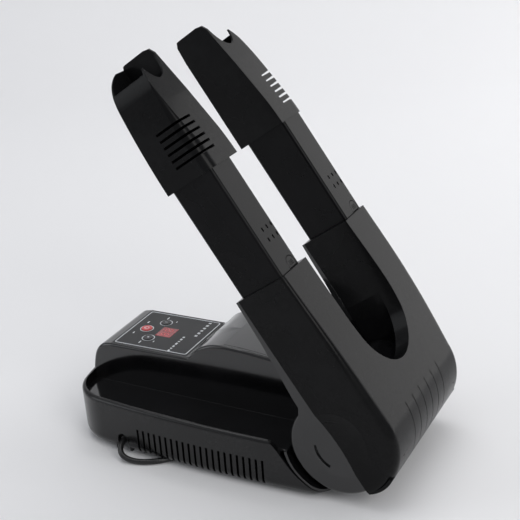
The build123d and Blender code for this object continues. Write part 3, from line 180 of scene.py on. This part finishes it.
M = {
    "satin_black": material("satin_black", (0.0045, 0.0045, 0.0048), 0.27, grain=1900, bump=0.07, vary=0.04, bevel=0.0005, specular=0.09, coat=0.08, coat_rough=0.08),
    "tray_black": material("tray_black", (0.004, 0.004, 0.0044), 0.26, grain=1700, bump=0.06, vary=0.05, bevel=0.0005, specular=0.32, coat=0.2, coat_rough=0.08),
    "gloss_black": material("gloss_black", (0.004, 0.004, 0.0045), 0.13, coat=0.5, coat_rough=0.05, grain=700, bump=0.015, vary=0.04,
                            bevel=0.0005),
    "tube_black": material("tube_black", (0.004, 0.004, 0.0045), 0.19, coat=0.06, coat_rough=0.06, grain=900, bump=0.02, vary=0.04,
                           bevel=0.0005, specular=0.09),
    "panel_black": material("panel_black", (0.009, 0.0095, 0.0105), 0.42, grain=2400, bump=0.08, vary=0.05, specular=0.4),
    "red_window": material("red_window", (0.30, 0.028, 0.032), 0.22, coat=0.5, grain=900, bump=0.02, vary=0.04),
    "red_button": material("red_button", (0.58, 0.06, 0.065), 0.35, grain=900, bump=0.05, vary=0.06, bevel=0.0003),
    "grey_button": material("grey_button", (0.022, 0.022, 0.024), 0.4, grain=900, bump=0.05, vary=0.06, bevel=0.0003),
    "board_green": material("board_green", (0.02, 0.10, 0.05), 0.4, grain=600, bump=0.15),
    "component": material("component", (0.05, 0.05, 0.055), 0.5, grain=900, bump=0.15),
    "display_grey": material("display_grey", (0.2, 0.02, 0.02), 0.5, grain=900, bump=0.1),
    "inner_plastic": material("inner_plastic", (0.10, 0.10, 0.105), 0.5, grain=900, bump=0.1),
    "white_nylon": material("white_nylon", (0.62, 0.61, 0.57), 0.5, grain=900, bump=0.1),
    "steel": material("steel", (0.55, 0.55, 0.56), 0.3, metallic=1.0, grain=1400, bump=0.08),
    "spring_steel": material("spring_steel", (0.5, 0.5, 0.52), 0.22, metallic=1.0, grain=1400, bump=0.05),
    "aluminium_fins": material("aluminium_fins", (0.7, 0.7, 0.71), 0.3, metallic=1.0, grain=1200, bump=0.1),
    "mica": material("mica", (0.5, 0.43, 0.32), 0.55, grain=500, bump=0.2, tint=0.3),
    "brass": material("brass", (0.72, 0.55, 0.28), 0.28, metallic=1.0, grain=1300, bump=0.06),
    "rubber_black": material("rubber_black", (0.012, 0.012, 0.012), 0.62, grain=1300, bump=0.2, vary=0.1),
    "cord_black": material("cord_black", (0.009, 0.009, 0.0095), 0.3, grain=1000, bump=0.08, vary=0.06),
    "print_white": material("print_white", (0.62, 0.64, 0.66), 0.5, grain=2500, bump=0.1, tint=0.1),
    "print_silver": material("print_silver", (0.62, 0.64, 0.66), 0.32, metallic=0.7, grain=2500, bump=0.05, tint=0.06),
    "display_red": material("display_red", (0.75, 0.06, 0.07), 0.3, grain=2000, bump=0.05, tint=0.1),
}
power_cord.data.materials.append(M["cord_black"])

for entry in frame["record"]["subparts"]:
    node = NODES.get(entry["node"])
    if node is None or node.type != "MESH":
        continue
    node.data.materials.clear()
    node.data.materials.append(M["tube_black" if entry["node"].startswith("tube_") and entry["material_slot"] == "gloss_black"
                                 else entry["material_slot"]])

# ------------------------------------------------------------------ control panel print
SLOPE = atan2(1.4, 77.0)


def panel_matrix(x, y, lift):
    """Placement on the panel's top face, at frame position x, y from the hinge axis, lifted in mm."""
    z = 26.8 + 1.4 * (x + 238.0) / 77.0 + 0.1 + lift
    return Matrix.Translation(H(x, y, z)) @ Matrix.Rotation(-SLOPE, 4, "Y")


def add_mesh(name, verts, faces, mat, matrix, body="base"):
    mesh = bpy.data.meshes.new(name)
    mesh.from_pydata([(v[0] / 1000, v[1] / 1000, v[2] / 1000) for v in verts], [], faces)
    mesh.transform(matrix)
    mesh.update()
    obj = bpy.data.objects.new(name, mesh)
    bpy.context.collection.objects.link(obj)
    mesh.materials.append(M[mat])
    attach(obj, body)
    return obj


def loop_points(w, h, r, seg=8):
    """Rounded rectangle, w along x and h along y, corner radius r, counterclockwise."""
    pts = []
    for cx, cy, a0 in ((w / 2 - r, h / 2 - r, 0), (-w / 2 + r, h / 2 - r, 90), (-w / 2 + r, -h / 2 + r, 180), (w / 2 - r, -h / 2 + r, 270)):
        for k in range(seg + 1):
            a = radians(a0 + 90 * k / seg)
            pts.append((cx + r * cos(a), cy + r * sin(a)))
    return pts


def frame_piece(name, outer, inner, thick, mat, matrix, body="base"):
    """A flat raised band between two closed outlines with the same number of points."""
    n = len(outer)
    verts = [(x, y, 0) for x, y in outer] + [(x, y, thick) for x, y in outer] + [(x, y, thick) for x, y in inner] + [(x, y, 0) for x, y in inner]
    faces = []
    for k in range(n):
        j = (k + 1) % n
        for a in range(3):
            faces.append((a * n + k, a * n + j, (a + 1) * n + j, (a + 1) * n + k))
        faces.append((3 * n + k, 3 * n + j, j, k))
    return add_mesh(name, verts, faces, mat, matrix, body)


def circle(r, n=48):
    return [(r * cos(2 * pi * k / n), r * sin(2 * pi * k / n)) for k in range(n)]


def pad(name, outline, thick, mat, matrix, body="base"):
    """A thin raised pad over one outline."""
    n = len(outline)
    verts = [(x, y, 0) for x, y in outline] + [(x, y, thick) for x, y in outline]
    faces = [tuple(range(n, 2 * n)), tuple(reversed(range(n)))]
    faces += [(k, (k + 1) % n, n + (k + 1) % n, n + k) for k in range(n)]
    return add_mesh(name, verts, faces, mat, matrix, body)


MID = -199.5
frame_piece("panel_border", loop_points(73.6, 66.2, 2.4), loop_points(71.8, 64.4, 1.8), 0.06, "print_silver", panel_matrix(MID, 0, 0.0))
for name, x, y, r in (("power", -222.0, 0.0, 5.0), ("timer", -211.0, 16.2, 4.6), ("mode", -211.0, -15.8, 4.6)):
    frame_piece(f"{name}_ring", circle(r + 1.35), circle(r + 0.55), 0.09, "print_silver" if name != "power" else "print_white",
                panel_matrix(x, y, 0.0))
# ring and bar on the power button, dots on the other two
down = Matrix.Rotation(-SLOPE, 4, "Y")


def on_button(x, y):
    z = 26.8 + 1.4 * (x + 238.0) / 77.0 + 1.0
    return Matrix.Translation(H(x, y, z)) @ down


frame_piece("power_mark_ring", circle(2.3, 32), circle(1.75, 32), 0.05, "print_white", on_button(-222.0, 0.0), "power_key")
pad("power_mark_bar", loop_points(2.6, 0.55, 0.25, 3), 0.07, "print_white", on_button(-223.9, 0.0), "power_key")
pad("timer_mark", loop_points(2.6, 0.5, 0.2, 3), 0.05, "print_white", on_button(-211.0, 16.2), "timer_key")
pad("mode_mark", circle(0.9, 20), 0.05, "print_white", on_button(-211.0, -15.8), "mode_key")
# plain tick marks beside the buttons, and two lines of short bars
marks = [(-227.5, 12.0, 1.4, 3.4), (-214.0, 25.0, 1.2, 4.2), (-214.0, -25.4, 1.2, 4.2), (-229.4, -11.0, 1.2, 3.0), (-202.6, 21.0, 1.0, 2.4),
         (-202.6, -20.6, 1.0, 2.4)]
for k, (x, y, w, h) in enumerate(marks):
    pad(f"panel_mark_{k}", loop_points(w, h, 0.3, 3), 0.05, "print_white", panel_matrix(x, y, 0.0))
for row, (x, y0, y1, w, lengths) in enumerate(((-181.0, -32.0, -3.0, 2.0, (2.6, 1.8, 2.6, 3.4, 1.6, 2.8, 2.2)),
                                               (-172.0, 1.0, 30.0, 2.6, (2.6, 3.0, 2.4, 2.8, 3.2, 2.2)))):
    gap = (y1 - y0 - sum(lengths)) / (len(lengths) - 1)
    y = y0
    for k, ln in enumerate(lengths):
        pad(f"panel_bar_{row}_{k}", loop_points(w, ln, 0.3, 3), 0.05, "print_white", panel_matrix(x, y + ln / 2, 0.0))
        y += ln + gap
# segments of a two-digit display, all the same neutral figure eight
for d, cy in enumerate((-4.6, 3.4)):
    for k, (dx, dy, w, h) in enumerate(((-3.6, 0, 0.7, 3.2), (0, 0, 0.7, 3.2), (3.6, 0, 0.7, 3.2), (-1.8, -2.0, 2.8, 0.7), (-1.8, 2.0, 2.8, 0.7),
                                        (1.8, -2.0, 2.8, 0.7), (1.8, 2.0, 2.8, 0.7))):
        pad(f"display_segment_{d}_{k}", loop_points(w, h, 0.3, 3), 0.05, "display_red", panel_matrix(-200.4 + dx, cy + dy, 0.1))


# ------------------------------------------------------------------ stage and light
# a pale sheet: floor that curves up behind the object
sweep_pts = [(-3.2, 0.0), (1.1, 0.0)]
for k in range(1, 13):
    a = radians(90 * k / 12)
    sweep_pts.append((1.1 + 0.7 * sin(a), 0.7 * (1 - cos(a))))
sweep_pts.append((1.8, 3.4))
back = fwd.copy()
back.z = 0
back.normalize()
side = Vector((back.y, -back.x, 0))
verts, faces = [], []
for d, z in sweep_pts:
    for w in (-3.5, 3.5):
        p = back * d + side * w
        verts.append((p.x, p.y, z - 0.0002))
for k in range(len(sweep_pts) - 1):
    faces.append((2 * k, 2 * k + 1, 2 * k + 3, 2 * k + 2))
mesh = bpy.data.meshes.new("backdrop")
mesh.from_pydata(verts, [], faces)
mesh.update()
for poly in mesh.polygons:
    poly.use_smooth = True
backdrop = bpy.data.objects.new("backdrop", mesh)
bpy.context.collection.objects.link(backdrop)
mat = bpy.data.materials.new("backdrop")
mat.use_nodes = True
bsdf = mat.node_tree.nodes["Principled BSDF"]
bsdf.inputs["Base Color"].default_value = (0.80, 0.80, 0.81, 1)
bsdf.inputs["Roughness"].default_value = 0.7
mesh.materials.append(mat)


def area(name, location, target, size, power, color=(1, 1, 1), size_y=None):
    data = bpy.data.lights.new(name, "AREA")
    data.energy = power
    data.color = color
    data.size = size
    if size_y:
        data.shape = "RECTANGLE"
        data.size_y = size_y
    obj = bpy.data.objects.new(name, data)
    bpy.context.collection.objects.link(obj)
    obj.location = location
    obj.rotation_euler = (Vector(target) - Vector(location)).to_track_quat("-Z", "Y").to_euler()
    return obj


CENTRE = (0.0, 0.0, 0.15)
area("key_right", (1.5, -0.9, 1.3), CENTRE, 1.0, 12, (1.0, 0.985, 0.96), 1.2)
area("top", (-0.1, 0.1, 2.1), CENTRE, 1.8, 14.5)
area("left_soft", (-1.6, -1.1, 1.0), CENTRE, 1.0, 6, (0.94, 0.97, 1.0), 1.4)
area("front_sheen", (0.83, 1.3, 0.55), CENTRE, 1.6, 10, (1.0, 0.99, 0.98), 1.2)
area("back_wash", (-0.4, 0.9, 1.9), (-0.7, 1.9, 0.8), 1.6, 6)

world = bpy.data.worlds.new("studio")
world.use_nodes = True
world.node_tree.nodes["Background"].inputs[0].default_value = (0.93, 0.95, 1.0, 1)
world.node_tree.nodes["Background"].inputs[1].default_value = 0.38
bpy.context.scene.world = world
bpy.context.scene.view_settings.view_transform = "Standard"

bpy.context.view_layer.update()
